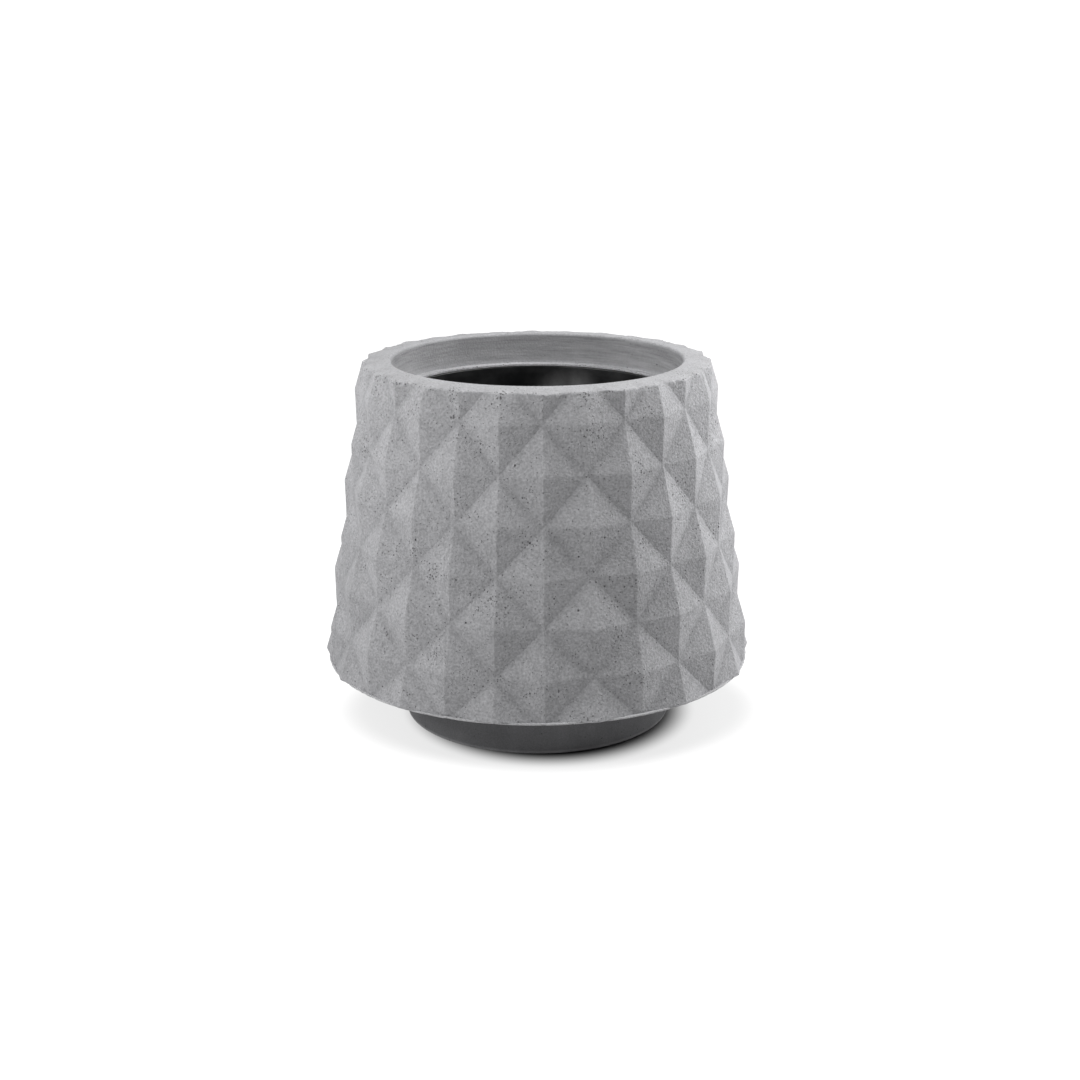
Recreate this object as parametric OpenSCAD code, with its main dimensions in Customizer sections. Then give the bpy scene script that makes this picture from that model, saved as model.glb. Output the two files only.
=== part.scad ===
// Round concrete planter with a diamond relief, a removable inner tub and a recessed plinth.
// Millimetres, +Z up. The origin is on the ground, on the axis of the planter.

/* [Shell] */
// Height of the concrete shell, from its underside to the rim
shell_h = 628; // [560:2:700]
// Diameter across the valleys of the relief at the rim
rim_valley_d = 698; // [680:2:760]
// Diameter across the valleys of the relief at the underside
foot_valley_d = 876; // [820:2:920]
// How far the plain lip under the relief stands out past the valleys
foot_lip_out = 5; // [2:1:12]
// Height of the plain lip
foot_lip_h = 4; // [2:1:10]
// Thickness of the shell's floor
floor_t = 90; // [80:1:120]
// Diameter of the drain opening through the floor
drain_opening_d = 140; // [120:2:180]

/* [Relief] */
// Number of diamonds in one row round the shell
diamonds = 14; // [10:1:20]
// Height from one row of points to the next
row_pitch = 96; // [80:1:110]
// Depth of the first row of points below the rim
first_row_drop = 62; // [40:1:75]
// Height of a diamond's point above the valleys round it
relief = 16; // [8:1:24]

/* [Mouth] */
// Diameter of the collar inside the rim
mouth_d = 594; // [560:2:620]
// Bevel of the rim's inner edge
mouth_bevel = 5; // [2:1:8]
// Depth of the ledge below the rim
ledge_drop = 66; // [50:1:100]
// Width of the ledge
ledge_w = 11; // [8:1:20]
// How much the cavity narrows on the radius, from the ledge to the floor
cavity_draft = 10; // [0:1:20]

/* [Plinth] */
// Outer diameter of the plinth
plinth_d = 560; // [500:2:600]
// Thickness of the plinth's ring wall
plinth_wall = 85; // [75:1:100]
// Height of the plinth
plinth_h = 125; // [100:1:160]
// Bevel of the plinth's outer edges
plinth_bevel = 5; // [2:1:10]
// Thickness of the rubber ring between the plinth and the shell
bedding_t = 4; // [2:1:8]
// How far the rubber ring stays back from the plinth's edges
bedding_setback = 10; // [6:1:18]

/* [Foot pads] */
// Number of rubber pads under the plinth
pad_count = 4; // [3:1:6]
// Diameter of a pad
pad_d = 60; // [40:1:66]
// Thickness of a pad
pad_t = 8; // [6:1:14]
// How far a pad stands out of the plinth
pad_proud = 3; // [2:1:5]
// Gap on the radius between a pad and its recess
pad_gap = 0.2; // [0.1:0.1:0.5]

/* [Plinth bolts] */
// Number of bolts that hold the plinth
bolt_count = 4; // [3:1:6]
// Thread diameter of a bolt
bolt_d = 12; // [10:1:16]
// Width across the flats of a bolt's head
bolt_head_af = 18; // [16:1:24]
// Height of a bolt's head
bolt_head_h = 7.5; // [6:0.5:10]
// Depth of thread that a bolt has in its socket
bolt_engagement = 28; // [20:1:40]
// Concrete left between the bolt's seat and the plinth's top
bolt_seat_t = 55; // [40:1:70]
// Diameter of the recess that takes the bolt's head
bolt_recess_d = 40; // [34:1:46]
// Gap on the radius between a bolt and the hole in the plinth
bolt_hole_gap = 1; // [0.5:0.5:2]
// Outer diameter of a washer
washer_d = 24; // [24:1:32]
// Thickness of a washer
washer_t = 2.5; // [2:0.5:4]
// Gap on the radius between a bolt and its washer
washer_gap = 0.5; // [0.2:0.1:1]
// Gap on the radius between two threads
thread_gap = 0.05; // [0.02:0.01:0.1]

/* [Cast-in sockets] */
// Outer diameter of a plinth socket's sleeve
socket_d = 22; // [20:1:30]
// Length of a plinth socket's sleeve
socket_len = 50; // [45:1:60]
// Thread diameter of a lifting socket
lift_thread_d = 16; // [12:1:20]
// Outer diameter of a lifting socket's sleeve
lift_socket_d = 26; // [25:1:34]
// Length of a lifting socket's sleeve
lift_socket_len = 58; // [50:1:60]
// Depth of thread in a lifting socket
lift_thread_depth = 40; // [25:1:45]
// Number of lifting sockets in the shell's floor
lift_count = 4; // [3:1:4]
// Diameter of the circle that the lifting sockets stand on
lift_circle_d = 400; // [320:2:440]
// How far a socket's anchor foot reaches past its sleeve
anchor_reach = 6; // [4:1:10]
// Thickness of a socket's anchor foot
anchor_t = 5; // [3:1:8]
// Diameter of a lifting socket's cap
cap_d = 40; // [36:1:50]
// Thickness of the cap's disc
cap_t = 3.5; // [2:0.5:5]
// Depth of the recess that the cap lies in
cap_recess = 4; // [4:0.5:6]
// Length of the cap's stem in the thread
cap_stem_len = 12; // [8:1:20]
// Gap on the radius between the cap and its recess
cap_gap = 0.2; // [0.1:0.1:0.5]

/* [Tub] */
// Gap on the radius between the tub and the cavity
liner_gap = 4; // [3:0.5:8]
// Thickness of the tub's wall
liner_wall = 5; // [3:0.5:8]
// Thickness of the tub's floor
liner_floor = 6; // [4:0.5:8]
// How far the tub's rim stays below the ledge
liner_drop = 3; // [1:1:20]
// Thickness of the tub's rim
liner_rim_t = 8; // [8:0.5:12]
// Height of the tub's thick rim
liner_rim_h = 15; // [8:1:25]
// Radius of the tub's lower corner, outside
liner_corner_r = 25; // [12:1:40]
// Angle round the tub that one finger grip takes up
grip_angle = 22; // [14:1:30]
// How far a finger grip reaches in from the wall
grip_reach = 24; // [15:1:35]
// Height of a finger grip
grip_h = 22; // [14:1:30]
// Depth of a finger grip's top below the tub's rim
grip_drop = 40; // [26:1:60]

/* [Drain] */
// Thread diameter of the outlet's stem
stem_d = 50; // [44:1:60]
// Bore of the outlet
outlet_bore_d = 40; // [30:1:42]
// Outer diameter of the plain spigot below the thread
spigot_d = 48; // [46:0.5:50]
// Length of the plain spigot
spigot_len = 23; // [15:1:35]
// Diameter of the outlet's flange
flange_d = 90; // [80:1:110]
// Thickness of the outlet's flange
flange_t = 5; // [3:0.5:8]
// Thickness of the seal under the flange
seal_t = 3; // [2:0.5:5]
// How far the seal stays back from the flange's edge
seal_setback = 2; // [1:0.5:5]
// Gap on the radius between the stem and the holes it passes through
stem_gap = 1; // [0.5:0.1:2]
// Width across the flats of the back nut
nut_af = 76; // [72:1:90]
// Height of the back nut
nut_h = 14; // [10:1:20]
// Height of the strainer above the flange
strainer_h = 22; // [16:1:40]
// Thickness of the strainer's wall and top
strainer_wall = 3; // [2:0.5:4]
// Width of the strainer's seat on the flange
strainer_seat = 4; // [3:0.5:8]
// How far the strainer's skirt reaches down round the flange
strainer_skirt = 3; // [2:0.5:3]
// Number of slots in the strainer's wall
strainer_slots = 16; // [8:1:24]
// Width of a strainer slot
strainer_slot_w = 6; // [3:0.5:8]
// Gap on the radius between the strainer's skirt and the flange
strainer_gap = 0.4; // [0.3:0.1:1]

/* [Hidden] */
$fn = 96;
// Overlap of a cutting shape past the face that it cuts
cut = 1;

// Levels, from the ground up
plinth_z = pad_proud;
bedding_z = plinth_z + plinth_h;
shell_z = bedding_z + bedding_t;
floor_z = shell_z + floor_t;
rim_z = shell_z + shell_h;
ledge_z = rim_z - ledge_drop;
liner_top_z = ledge_z - liner_drop;
liner_floor_z = floor_z + liner_floor;
flange_z = liner_floor_z + seal_t;
strainer_z = flange_z + flange_t;
nut_z = floor_z - nut_h;
bolt_seat_z = bedding_z - bolt_seat_t;

// Radii
mouth_r = mouth_d / 2;
cavity_top_r = mouth_r - ledge_w;
plinth_r = plinth_d / 2;
plinth_bore_r = plinth_r - plinth_wall;
plinth_mid_r = plinth_r - plinth_wall / 2;
stem_hole_r = stem_d / 2 + stem_gap;
slab_r = foot_valley_d / 2 + 4 * relief + row_pitch;

// The relief: half columns round the shell, and rows counted down from the first row of points
half_columns = 2 * diamonds;
top_row = -ceil(first_row_drop / row_pitch) - 1;
last_row = ceil((shell_h - first_row_drop) / row_pitch) + 1;
row_count = last_row - top_row + 1;

// Height of a row of points
function row_z(row) = rim_z - first_row_drop - row * row_pitch;
// Radius of the valleys at a height: a straight taper from rim to underside
function valley_r(z) = (rim_valley_d + (rim_z - z) / shell_h * (foot_valley_d - rim_valley_d)) / 2;
// A corner of the relief: a point of a diamond where column plus row is odd, a crossing of valleys elsewhere
function corner_r(column, row) = valley_r(row_z(row)) + ((column + row) % 2 == 0 ? 0 : relief);
function corner(column, row) =
    let (turn = 180 * column / diamonds, r = corner_r(column, row))
    [r * sin(turn), -r * cos(turn), row_z(row)];
// Number of a corner in the list of corners, counted row by row
function corner_id(column, row) = (row - top_row) * half_columns + column % half_columns;
// The two facets between a corner and the next ones right and down, parted by the valley
function facet_pair(column, row) =
    let (a = corner_id(column, row), b = corner_id(column + 1, row),
         c = corner_id(column + 1, row + 1), d = corner_id(column, row + 1))
    (column + row) % 2 == 0 ? [[a, b, c], [a, c, d]] : [[a, b, d], [b, c, d]];

// Radius of the cavity at a height, between the floor and the ledge
function cavity_r(z) = cavity_top_r - cavity_draft * (ledge_z - z) / (ledge_z - floor_z);
// Outer and inner radius of the tub's wall at a height
function liner_r(z) = cavity_r(z) - liner_gap;
function liner_bore_r(z) = liner_r(z) - liner_wall;
// Points of an arc in the radius and height plane
function arc(r0, z0, radius, from, to, steps = 8) =
    [for (k = [0 : steps]) let (t = from + (to - from) * k / steps) [r0 + radius * cos(t), z0 + radius * sin(t)]];

// Copies of a shape round the axis
module ring_of(count, radius, start = 0) {
    for (k = [0 : count - 1]) rotate(start + 360 * k / count) translate([radius, 0, 0]) children();
}

// A flat ring standing at a height
module flat_ring(z, outer_r, inner_r, height) {
    translate([0, 0, z]) difference() {
        cylinder(r = outer_r, h = height);
        translate([0, 0, -cut]) cylinder(r = inner_r, h = height + 2 * cut);
    }
}

// The tapered body of diamonds, longer than the shell at both ends
module diamond_body() {
    corners = [for (row = [top_row : last_row], column = [0 : half_columns - 1]) corner(column, row)];
    facets = [for (row = [top_row : last_row - 1], column = [0 : half_columns - 1])
        each facet_pair(column, row)];
    top_cap = [for (column = [half_columns - 1 : -1 : 0]) corner_id(column, top_row)];
    bottom_cap = [for (column = [0 : half_columns - 1]) corner_id(column, last_row)];
    polyhedron(points = corners, faces = concat(facets, [top_cap], [bottom_cap]), convexity = 6);
}

// The sleeve and anchor foot of a cast-in socket, growing up from its mouth
module socket_form(sleeve_d, length) {
    cylinder(d = sleeve_d, h = length);
    translate([0, 0, length - anchor_t]) cylinder(d = sleeve_d + 2 * anchor_reach, h = anchor_t);
}

// Places of the cast-in sockets, with the socket growing into the concrete
module at_plinth_sockets() {
    ring_of(bolt_count, plinth_mid_r) translate([0, 0, shell_z]) children();
}
module at_lifting_sockets() {
    ring_of(lift_count, lift_circle_d / 2, 180 / lift_count)
        translate([0, 0, floor_z - cap_recess]) mirror([0, 0, 1]) children();
}

// Concrete body: relief on a plain round lip outside, collar, ledge and tapered cavity inside
module shell() {
    color("#a2a2a2") difference() {
        union() {
            intersection() {
                diamond_body();
                translate([0, 0, shell_z + foot_lip_h]) cylinder(r = slab_r, h = shell_h - foot_lip_h);
            }
            translate([0, 0, shell_z]) cylinder(r = foot_valley_d / 2 + foot_lip_out, h = foot_lip_h);
        }
        translate([0, 0, floor_z])
            cylinder(r1 = cavity_r(floor_z), r2 = cavity_top_r, h = ledge_z - floor_z);
        translate([0, 0, ledge_z]) cylinder(r = mouth_r, h = ledge_drop + cut);
        translate([0, 0, rim_z - mouth_bevel])
            cylinder(r1 = mouth_r, r2 = mouth_r + mouth_bevel + cut, h = mouth_bevel + cut);
        translate([0, 0, shell_z - cut]) cylinder(d = drain_opening_d, h = floor_t + 2 * cut);
        at_plinth_sockets() socket_form(socket_d, socket_len);
        at_lifting_sockets() socket_form(lift_socket_d, lift_socket_len);
        at_lifting_sockets() translate([0, 0, -cap_recess - cut]) cylinder(d = cap_d, h = cap_recess + cut);
    }
}

// Dark concrete ring, with bolt holes, head recesses and pad recesses
module plinth() {
    profile = [
        [plinth_bore_r, 0],
        [plinth_r - plinth_bevel, 0],
        [plinth_r, plinth_bevel],
        [plinth_r, plinth_h - plinth_bevel],
        [plinth_r - plinth_bevel, plinth_h],
        [plinth_bore_r, plinth_h],
    ];
    color("#4b4b4d") difference() {
        translate([0, 0, plinth_z]) rotate_extrude() polygon(profile);
        ring_of(bolt_count, plinth_mid_r) {
            translate([0, 0, plinth_z - cut]) cylinder(d = bolt_d + 2 * bolt_hole_gap, h = plinth_h + 2 * cut);
            translate([0, 0, plinth_z - cut])
                cylinder(d = bolt_recess_d, h = plinth_h - bolt_seat_t + cut);
        }
        ring_of(pad_count, plinth_mid_r, 180 / pad_count)
            translate([0, 0, plinth_z - cut]) cylinder(d = pad_d + 2 * pad_gap, h = pad_t - pad_proud + cut);
    }
}

// Rubber ring that beds the shell on the plinth
module bedding_ring() {
    color("#262626") difference() {
        flat_ring(bedding_z, plinth_r - bedding_setback, plinth_bore_r + bedding_setback, bedding_t);
        ring_of(bolt_count, plinth_mid_r) translate([0, 0, bedding_z - cut])
            cylinder(d = bolt_d + 2 * bolt_hole_gap, h = bedding_t + 2 * cut);
    }
}

// Threaded steel sockets cast into the underside of the shell
module plinth_sockets() {
    color("#b9bcc0") at_plinth_sockets() difference() {
        socket_form(socket_d, socket_len);
        translate([0, 0, -cut])
            cylinder(d = bolt_d + 2 * thread_gap, h = socket_len - anchor_t + cut);
    }
}

// Hexagon bolts, entered from below
module plinth_bolts() {
    grip = bolt_seat_t + bedding_t + washer_t;
    color("#b9bcc0") ring_of(bolt_count, plinth_mid_r) translate([0, 0, bolt_seat_z - washer_t]) {
        translate([0, 0, -bolt_head_h]) cylinder(d = bolt_head_af / cos(30), h = bolt_head_h, $fn = 6);
        cylinder(d = bolt_d, h = grip + bolt_engagement);
    }
}

// Plain washers under the bolt heads
module plinth_washers() {
    color("#c4c6c8") ring_of(bolt_count, plinth_mid_r)
        flat_ring(bolt_seat_z - washer_t, washer_d / 2, bolt_d / 2 + washer_gap, washer_t);
}

// Rubber pads that carry the planter on the ground
module foot_pads() {
    color("#222222") ring_of(pad_count, plinth_mid_r, 180 / pad_count) cylinder(d = pad_d, h = pad_t);
}

// Threaded steel sockets cast into the shell's floor, mouth up
module lifting_sockets() {
    color("#b9bcc0") at_lifting_sockets() difference() {
        socket_form(lift_socket_d, lift_socket_len);
        translate([0, 0, -cut]) cylinder(d = lift_thread_d, h = lift_thread_depth + cut);
    }
}

// Plastic caps that lie flush in the shell's floor
module socket_caps() {
    color("#303032") at_lifting_sockets() {
        translate([0, 0, -cap_t]) cylinder(d = cap_d - 2 * cap_gap, h = cap_t);
        cylinder(d = lift_thread_d - 2 * thread_gap, h = cap_stem_len);
    }
}

// Black plastic tub with a thick rim and two finger grips
module liner() {
    inner_corner_r = liner_corner_r - liner_wall;
    corner_z = floor_z + liner_corner_r;
    outer_corner_mid = liner_r(corner_z) - liner_corner_r;
    rim_step_z = liner_top_z - liner_rim_h;
    profile = concat(
        [[stem_hole_r, floor_z]],
        arc(outer_corner_mid, corner_z, liner_corner_r, -90, 0),
        [[liner_r(liner_top_z), liner_top_z],
         [liner_r(liner_top_z) - liner_rim_t, liner_top_z],
         [liner_r(liner_top_z) - liner_rim_t, rim_step_z],
         [liner_bore_r(rim_step_z - liner_rim_t), rim_step_z - liner_rim_t]],
        arc(outer_corner_mid, liner_floor_z + inner_corner_r, inner_corner_r, 0, -90),
        [[stem_hole_r, liner_floor_z]]
    );
    grip_z = liner_top_z - grip_drop;
    grip_lip = grip_h / 3;
    grip_profile = [
        [liner_bore_r(grip_z) + liner_wall / 2, grip_z],
        [liner_bore_r(grip_z) - grip_reach, grip_z],
        [liner_bore_r(grip_z) - grip_reach, grip_z - grip_h],
        [liner_bore_r(grip_z) - grip_reach + grip_lip, grip_z - grip_h],
        [liner_bore_r(grip_z) - grip_reach + grip_lip, grip_z - grip_lip],
        [liner_bore_r(grip_z - grip_lip) + liner_wall / 2, grip_z - grip_lip],
    ];
    color("#1a1a1c") {
        rotate_extrude() polygon(profile);
        for (side = [0, 180]) rotate(side - grip_angle / 2) rotate_extrude(angle = grip_angle)
            polygon(grip_profile);
    }
}

// Flanged outlet through the tub's floor, with a plain spigot below its thread
module drain_outlet() {
    profile = [
        [outlet_bore_d / 2, nut_z - spigot_len],
        [spigot_d / 2, nut_z - spigot_len],
        [spigot_d / 2, nut_z],
        [stem_d / 2, nut_z],
        [stem_d / 2, flange_z],
        [flange_d / 2, flange_z],
        [flange_d / 2, strainer_z],
        [outlet_bore_d / 2, strainer_z],
    ];
    color("#2b2b2e") rotate_extrude() polygon(profile);
}

// Rubber ring under the outlet's flange
module drain_seal() {
    color("#202020") flat_ring(liner_floor_z, flange_d / 2 - seal_setback, stem_hole_r, seal_t);
}

// Hexagon back nut under the tub's floor
module drain_nut() {
    color("#2b2b2e") translate([0, 0, nut_z]) difference() {
        cylinder(d = nut_af / cos(30), h = nut_h, $fn = 6);
        translate([0, 0, -cut]) cylinder(d = stem_d + 2 * thread_gap, h = nut_h + 2 * cut);
    }
}

// Slotted cap that stands on the outlet's flange, with a skirt round the flange's edge
module drain_strainer() {
    skirt_r = flange_d / 2 + strainer_gap;
    inner_r = flange_d / 2 - strainer_seat;
    top_z = strainer_z + strainer_h;
    profile = [
        [skirt_r, strainer_z - strainer_skirt],
        [skirt_r + strainer_wall, strainer_z - strainer_skirt],
        [skirt_r + strainer_wall, strainer_z],
        [inner_r + strainer_wall, strainer_z + strainer_wall],
        [inner_r + strainer_wall, top_z - strainer_wall],
        [inner_r, top_z],
        [0, top_z],
        [0, top_z - strainer_wall],
        [inner_r, top_z - strainer_wall],
        [inner_r, strainer_z],
        [skirt_r, strainer_z],
    ];
    slot_h = strainer_h - 3 * strainer_wall;
    color("#39393c") difference() {
        rotate_extrude() polygon(profile);
        ring_of(strainer_slots, inner_r - cut)
            translate([0, -strainer_slot_w / 2, strainer_z + 1.5 * strainer_wall])
                cube([strainer_wall + 3 * cut, strainer_slot_w, slot_h]);
    }
}

shell();
plinth();
bedding_ring();
plinth_sockets();
plinth_bolts();
plinth_washers();
foot_pads();
lifting_sockets();
socket_caps();
liner();
drain_outlet();
drain_seal();
drain_nut();
drain_strainer();
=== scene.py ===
import math

import bmesh
import bpy
from mathutils import Matrix, Vector


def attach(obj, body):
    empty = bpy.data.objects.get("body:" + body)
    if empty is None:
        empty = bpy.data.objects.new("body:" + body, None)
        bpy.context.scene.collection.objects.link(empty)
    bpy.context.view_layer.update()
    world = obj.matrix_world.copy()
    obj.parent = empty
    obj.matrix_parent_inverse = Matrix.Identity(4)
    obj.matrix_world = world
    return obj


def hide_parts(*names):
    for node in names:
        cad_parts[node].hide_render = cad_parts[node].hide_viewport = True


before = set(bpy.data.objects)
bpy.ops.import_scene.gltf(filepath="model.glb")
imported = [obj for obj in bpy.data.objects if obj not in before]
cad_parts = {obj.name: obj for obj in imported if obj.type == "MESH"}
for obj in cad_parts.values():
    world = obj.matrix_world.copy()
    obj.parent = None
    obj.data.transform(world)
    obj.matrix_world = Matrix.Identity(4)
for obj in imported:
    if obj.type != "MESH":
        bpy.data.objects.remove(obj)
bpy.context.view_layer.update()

# Foot pads: four round pads of black rubber, pressed into shallow recesses under the plinth.
# They are moulded discs with a soft edge, and grooved rings on the face that grips the ground.
mm = 0.001
pad_r, pad_t, pad_count = 30 * mm, 8 * mm, 4
pad_low_edge, pad_top_edge = 1.6 * mm, 0.8 * mm
groove, groove_edge = 1.2 * mm, 0.4 * mm
groove_count, groove_start_r, groove_pitch = 4, 5 * mm, 6 * mm
plinth_mid_r = 237.5 * mm
crease = math.radians(35)


def linear(hex_colour):
    """An sRGB hex colour as the linear colour that a shader takes."""
    parts = [int(hex_colour[k : k + 2], 16) / 255 for k in (1, 3, 5)]
    return (*[c / 12.92 if c <= 0.04045 else ((c + 0.055) / 1.055) ** 2.4 for c in parts], 1)


def add(tree, kind, inputs={}, **settings):
    """Adds a node, with its settings, and with values or links on its inputs."""
    made = tree.nodes.new(kind)
    for name, value in settings.items():
        setattr(made, name, value)
    for key, value in inputs.items():
        if isinstance(value, bpy.types.Node):
            value = next(out for out in value.outputs if out.enabled)
        if isinstance(value, bpy.types.NodeSocket):
            tree.links.new(value, made.inputs[key])
        else:
            made.inputs[key].default_value = value
    return made


def finish_named(name):
    """An empty material, its tree and the point in metres on the piece."""
    material = bpy.data.materials.new(name)
    material.use_nodes = True
    material.node_tree.nodes.clear()
    tree = material.node_tree
    return material, tree, add(tree, "ShaderNodeTexCoord").outputs["Object"]


def softened(corners, step=15):
    """An outline in radius and height, from corners (radius, height, fillet).

    A point just past each end of a fillet keeps the flat faces beside it evenly shaded.
    """
    outline = []
    for k, (r, z, fillet) in enumerate(corners):
        here = Vector((r, z))
        if not fillet:
            outline.append(here)
            continue
        back = (Vector(corners[k - 1][:2]) - here).normalized()
        on = (Vector(corners[(k + 1) % len(corners)][:2]) - here).normalized()
        half = back.angle(on) / 2
        reach = fillet / math.tan(half)
        past = 1.2 * reach
        middle = here + (back + on).normalized() * fillet / math.sin(half)
        steps = max(2, math.ceil(math.degrees(math.pi - 2 * half) / step))
        first, last = here + back * reach - middle, here + on * reach - middle
        outline.append(here + back * past)
        outline += [middle + first.slerp(last, n / steps) * fillet for n in range(steps + 1)]
        outline.append(here + on * past)
    return outline


def turned(name, outline, steps):
    """A closed piece turned round the axis from an outline in radius and height."""
    points, rings, faces = [], [], []
    for r, z in outline:
        if r < 1e-6:
            rings.append([len(points)] * steps)
            points.append((0, 0, z))
        else:
            rings.append(range(len(points), len(points) + steps))
            turns = [2 * math.pi * k / steps for k in range(steps)]
            points += [(r * math.sin(t), -r * math.cos(t), z) for t in turns]
    for upper, lower in zip(rings, rings[1:] + rings[:1]):
        for k in range(steps):
            n = (k + 1) % steps
            face = tuple(dict.fromkeys((upper[k], upper[n], lower[n], lower[k])))
            if len(face) > 2:
                faces.append(face)
    mesh = bpy.data.meshes.new(name)
    mesh.from_pydata(points, [], faces)
    return placed(name, mesh)


def placed(name, mesh):
    """A mesh with its faces turned outwards and smooth up to the crease, as an object at the origin."""
    made = bmesh.new()
    made.from_mesh(mesh)
    bmesh.ops.recalc_face_normals(made, faces=made.faces)
    made.to_mesh(mesh)
    made.free()
    mesh.shade_smooth()
    mesh.set_sharp_from_angle(angle=crease)
    piece = bpy.data.objects.new(name, mesh)
    bpy.context.scene.collection.objects.link(piece)
    return piece


def settled(piece):
    """The piece with its modifiers made part of a plain mesh."""
    depsgraph = bpy.context.evaluated_depsgraph_get()
    mesh = bpy.data.meshes.new_from_object(piece.evaluated_get(depsgraph))
    piece.modifiers.clear()
    piece.data = mesh
    return piece


def grown(piece, tree, **sizes):
    """The piece as a node tree makes it from the tree's named inputs."""
    piece.data.materials.append(sizes["finish"])
    modifier = piece.modifiers.new(tree.name, "NODES")
    modifier.node_group = tree
    for item in tree.interface.items_tree:
        if item.in_out == "INPUT" and item.name in sizes:
            modifier[item.identifier] = sizes[item.name]
    return settled(piece)


def tree_with(name, **inputs):
    """A geometry tree with named inputs, and the node that gives them."""
    tree = bpy.data.node_groups.new(name, "GeometryNodeTree")
    tree.interface.new_socket("Geometry", in_out="INPUT", socket_type="NodeSocketGeometry")
    tree.interface.new_socket("Geometry", in_out="OUTPUT", socket_type="NodeSocketGeometry")
    for label, kind in inputs.items():
        tree.interface.new_socket(label, in_out="INPUT", socket_type="NodeSocket" + kind)
    return tree, add(tree, "NodeGroupInput")


ring_of, given = tree_with("ring_of", copies="Int", radius="Float", start="Float", finish="Material")
place = add(ring_of, "GeometryNodeInputIndex")
turn = add(ring_of, "ShaderNodeMath", {0: place, 1: given.outputs["copies"]}, operation="DIVIDE")
turn = add(ring_of, "ShaderNodeMath", {0: turn, 1: math.tau, 2: given.outputs["start"]},
           operation="MULTIPLY_ADD")
across = add(ring_of, "ShaderNodeMath", {0: turn}, operation="COSINE")
along = add(ring_of, "ShaderNodeMath", {0: turn}, operation="SINE")
spot = add(ring_of, "ShaderNodeCombineXYZ", {0: across, 1: along})
spot = add(ring_of, "ShaderNodeVectorMath", {0: spot, "Scale": given.outputs["radius"]}, operation="SCALE")
spots = add(ring_of, "GeometryNodePoints", {"Count": given.outputs["copies"], "Position": spot})
facing = add(ring_of, "ShaderNodeCombineXYZ", {2: turn})
copies = add(ring_of, "GeometryNodeInstanceOnPoints",
             {"Points": spots, "Instance": given.outputs["Geometry"], "Rotation": facing})
copies = add(ring_of, "GeometryNodeRealizeInstances", {"Geometry": copies})
copies = add(ring_of, "GeometryNodeSetMaterial", {"Geometry": copies, "Material": given.outputs["finish"]})
add(ring_of, "NodeGroupOutput", {0: copies})

# EPDM rubber, moulded: a dull dark grey with a faint bloom and a fine pitted skin.
# The pits are drawn coarser than they are, so that they show.
rubber, tree, point = finish_named("moulded_rubber")
bloom = add(tree, "ShaderNodeTexNoise", {"Vector": point, "Scale": 1 / (18 * mm), "Detail": 4.0})
colour = add(tree, "ShaderNodeMix", {0: bloom, 6: linear("#1b1b1c"), 7: linear("#343435")}, data_type="RGBA")
pits = add(tree, "ShaderNodeTexNoise", {"Vector": point, "Scale": 1 / (1.2 * mm), "Detail": 2.0})
bump = add(tree, "ShaderNodeBump", {"Strength": 0.35, "Distance": 0.2 * mm, "Height": pits})
shader = add(tree, "ShaderNodeBsdfPrincipled", {"Base Color": colour.outputs[2], "Roughness": 0.82,
                                                "Specular IOR Level": 0.3, "Normal": bump})
add(tree, "ShaderNodeOutputMaterial", {"Surface": shader})

pad_corners = [(0, 0, 0)]
for ring in range(groove_count):
    start = groove_start_r + ring * groove_pitch
    pad_corners += [(start, 0, groove_edge), (start + groove, groove, 0)]
    pad_corners.append((start + 2 * groove, 0, groove_edge))
pad_corners += [(pad_r, 0, pad_low_edge), (pad_r, pad_t, pad_top_edge), (0, pad_t, 0)]
foot_pads = grown(turned("rubber_foot_pads", softened(pad_corners, 30), 48), ring_of, copies=pad_count,
                  radius=plinth_mid_r, start=math.pi / pad_count, finish=rubber)
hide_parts("foot_pads")
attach(foot_pads, "planter")

# Plinth: the recessed foot, a ring of concrete coloured dark grey all through and cast in a steel mould.
# Its edges are eased, and the underside has recesses for the bolt heads and the pads.
plinth_r, plinth_edge = 280 * mm, 6 * mm
plinth_bore_r, plinth_bore_edge = 195 * mm, 3 * mm
plinth_low, plinth_high = 3 * mm, 128 * mm
bolt_count, bolt_recess_r, bolt_seat_z, bolt_hole_r = 4, 20 * mm, 73 * mm, 7 * mm
pad_recess_r = 30.2 * mm
cut_past = 5 * mm


def shaped(piece, tool, operation):
    """The piece cut by a tool, merged with it or kept inside it. The tool is then removed."""
    modifier = piece.modifiers.new(tool.name, "BOOLEAN")
    modifier.object, modifier.operation, modifier.solver = tool, operation, "EXACT"
    settled(piece)
    bpy.data.objects.remove(tool)


# Pigmented concrete: dark grey cement with fine sand, a few small air holes, slightly paler cloudy patches
# and a pale lower edge, partly scuffed where it was set down and partly a painted highlight along the edge.
# The sand is drawn about twice its real size.
dark_concrete, tree, point = finish_named("dark_pigmented_concrete")
cloud = add(tree, "ShaderNodeTexNoise",
            {"Vector": point, "Scale": 1 / (70 * mm), "Detail": 4.0, "Roughness": 0.6})
sand = add(tree, "ShaderNodeTexNoise",
           {"Vector": point, "Scale": 1 / (3 * mm), "Detail": 3.0, "Roughness": 0.7})
tone = add(tree, "ShaderNodeMath", {0: sand, 1: 0.65}, operation="MULTIPLY")
tone = add(tree, "ShaderNodeMath", {0: cloud, 1: 0.5, 2: tone}, operation="MULTIPLY_ADD")
tone = add(tree, "ShaderNodeMapRange", {0: tone, 1: 0.35, 2: 0.8})
colour = add(tree, "ShaderNodeMix", {0: tone, 6: linear("#69696b"), 7: linear("#868688")}, data_type="RGBA")
up = add(tree, "ShaderNodeSeparateXYZ", {0: point})
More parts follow.
